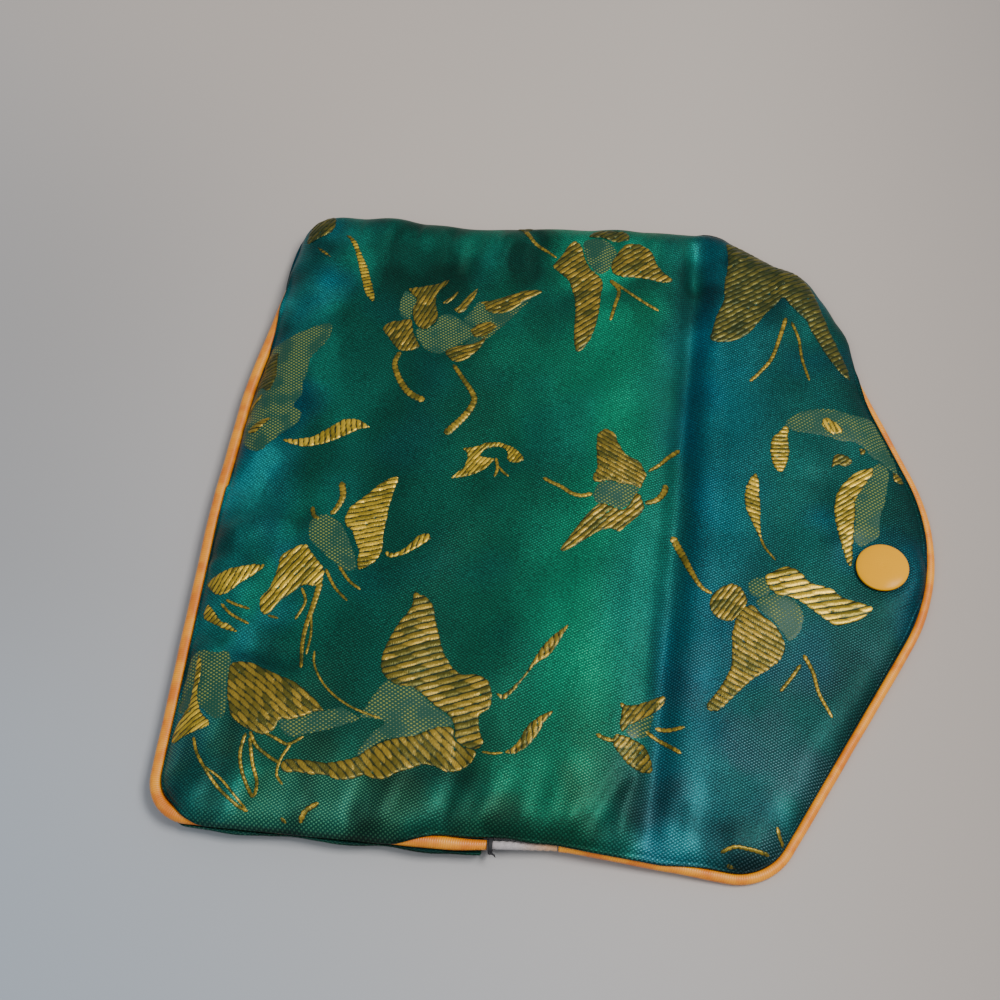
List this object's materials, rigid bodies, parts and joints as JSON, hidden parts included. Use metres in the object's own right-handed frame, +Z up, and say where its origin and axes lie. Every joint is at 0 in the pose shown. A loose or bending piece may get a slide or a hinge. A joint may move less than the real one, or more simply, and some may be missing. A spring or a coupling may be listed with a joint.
{
  "type": "brocade purse",
  "caption": "Flat padded brocade purse lying back side up: a pocket with an open envelope flap, piped edge and a press stud.",
  "frame": {"origin": "under the middle of the whole purse's bounding box, on the surface that it lies on", "axes": "+Z up, out of the back panel; +X from the bottom seam to the flap's tip; +Y across the purse, away from the picture's camera side"},
  "size_m": [0.1714, 0.1734, 0.0108],
  "materials": {
    "brocade": "teal satin with gold brocade",
    "piping_satin": "orange-gold satin",
    "cord": "matt",
    "thread": "matt",
    "stud_plastic": "glossy yellow"
  },
  "bodies": {
    "root": {"back_panel": "brocade", "front_panel": "brocade", "piping": "piping_satin", "piping_core": "cord", "mouth_tack": "thread", "snap_cap": "stud_plastic", "snap_stud": "stud_plastic", "snap_socket": "stud_plastic", "socket_cap": "stud_plastic"}
  },
  "joints": []
}
